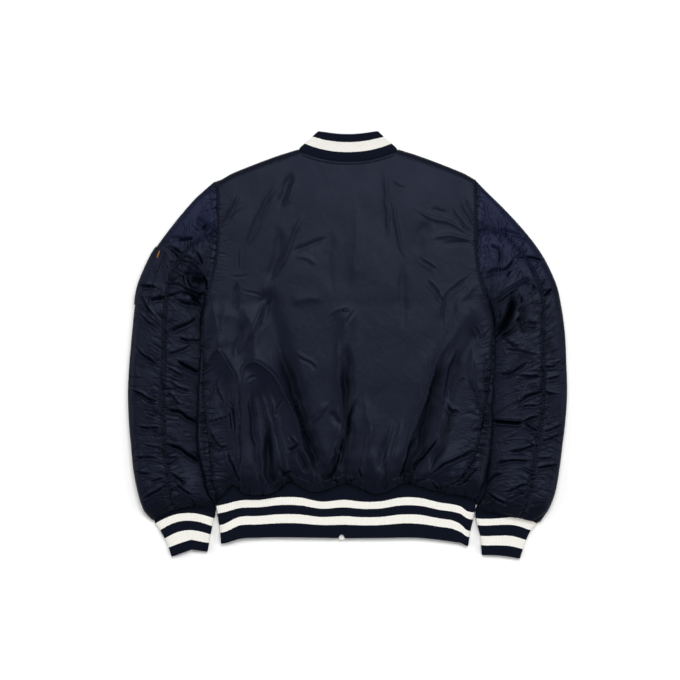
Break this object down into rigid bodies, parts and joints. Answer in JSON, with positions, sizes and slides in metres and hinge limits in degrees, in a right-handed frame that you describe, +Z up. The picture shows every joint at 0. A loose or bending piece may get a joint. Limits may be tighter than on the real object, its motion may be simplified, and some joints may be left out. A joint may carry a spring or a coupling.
{
  "type": "bomber jacket",
  "caption": "Padded nylon bomber jacket laid flat with its back up, with set-in two-piece sleeves, striped rib collar, cuffs and hem, a front zip and a sleeve pocket.",
  "frame": {"origin": "centre of the footprint, on the surface the jacket lies on", "axes": "+Z up from the surface, +Y towards the collar, +X to the right looking down on the back"},
  "size_m": [0.746, 0.727, 0.0373],
  "materials": {
    "shell_nylon": "midnight navy flight satin, plain shell cloth of the body",
    "sleeve_nylon": "midnight navy flight satin, slightly bluer and crumpled",
    "rib_knit": "matt rib knit, navy with knitted-in white stripes",
    "zip_tape": "matt woven polyester tape",
    "zip_metal": "nickel plated zip metal",
    "pull_tape": "orange woven tape"
  },
  "bodies": {
    "jacket": {"back": "shell_nylon", "front_left": "shell_nylon", "front_right": "shell_nylon", "sleeve_left_outer": "sleeve_nylon", "sleeve_left_under": "sleeve_nylon", "sleeve_right_outer": "sleeve_nylon", "sleeve_right_under": "sleeve_nylon", "sleeve_pocket": "sleeve_nylon", "pocket_pull": "pull_tape", "hem_rib": "rib_knit", "cuff_left": "rib_knit", "cuff_right": "rib_knit", "collar": "rib_knit", "zip_tape_left": "zip_tape", "zip_tape_right": "zip_tape", "zip_teeth_left": "zip_metal", "zip_teeth_right": "zip_metal", "zip_box": "zip_metal", "slider": "zip_metal"},
    "pull_tab": {"pull_tab": "zip_metal"}
  },
  "joints": [
    {"name": "pull_tab_swing", "type": "hinge", "parent": "jacket", "child": "pull_tab", "pos_m": [-0.01, 0.2268, 0.0025], "axis": [1, 0, 0], "range_deg": [0, 150]}
  ]
}
